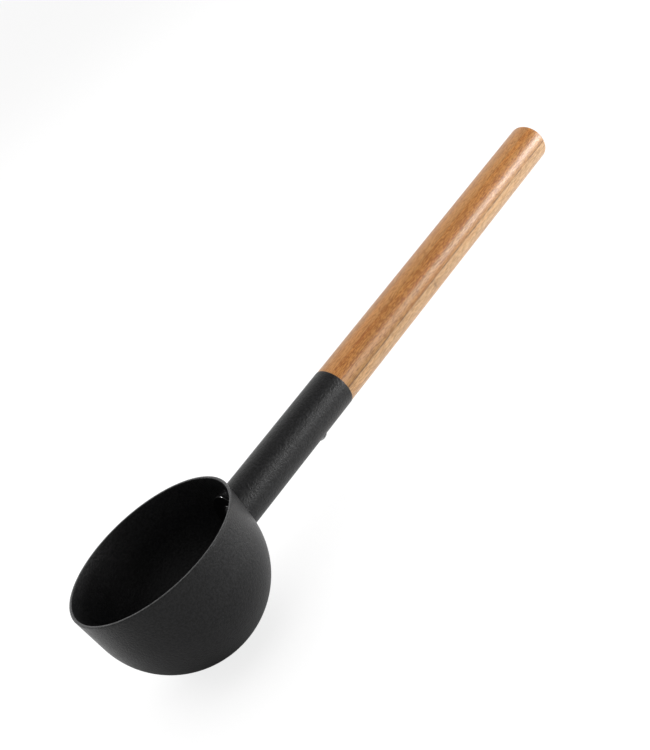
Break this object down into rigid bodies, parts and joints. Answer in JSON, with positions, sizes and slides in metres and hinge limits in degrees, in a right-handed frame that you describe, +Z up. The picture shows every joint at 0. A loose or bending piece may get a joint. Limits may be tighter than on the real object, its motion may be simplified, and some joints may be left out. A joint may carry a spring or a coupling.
{
  "type": "ladle",
  "caption": "Deep round-bottomed metal ladle bowl on a tube socket with a straight round bamboo handle, for dipping, carrying and pouring liquid or loose grain.",
  "frame": {"origin": "on the handle's axis, at the open end of the socket, where the bamboo leaves the tube", "axes": "+X out along the handle to its free end, +Z up out of the bowl's mouth, +Y across; the bowl lies on the -X side"},
  "size_m": [0.426, 0.102, 0.0699],
  "materials": {
    "coated_metal": "fine matt black coating over drawn aluminium",
    "black_steel": "satin black oxide",
    "bare_aluminium": "as turned",
    "bamboo_light": "satin varnish on pale bamboo",
    "bamboo_tan": "satin varnish on tan bamboo",
    "bamboo_brown": "satin varnish on steamed brown bamboo"
  },
  "bodies": {
    "root": {"bowl": "coated_metal", "clamp_washer": "black_steel", "bowl_screw": "black_steel", "socket_tube": "coated_metal", "socket_plug": "bare_aluminium", "retaining_screw": "black_steel", "bamboo_strip_bottom": "bamboo_light", "bamboo_strip_lower": "bamboo_light", "bamboo_strip_middle": "bamboo_tan", "bamboo_strip_upper": "bamboo_brown", "bamboo_strip_top": "bamboo_tan"}
  },
  "joints": []
}
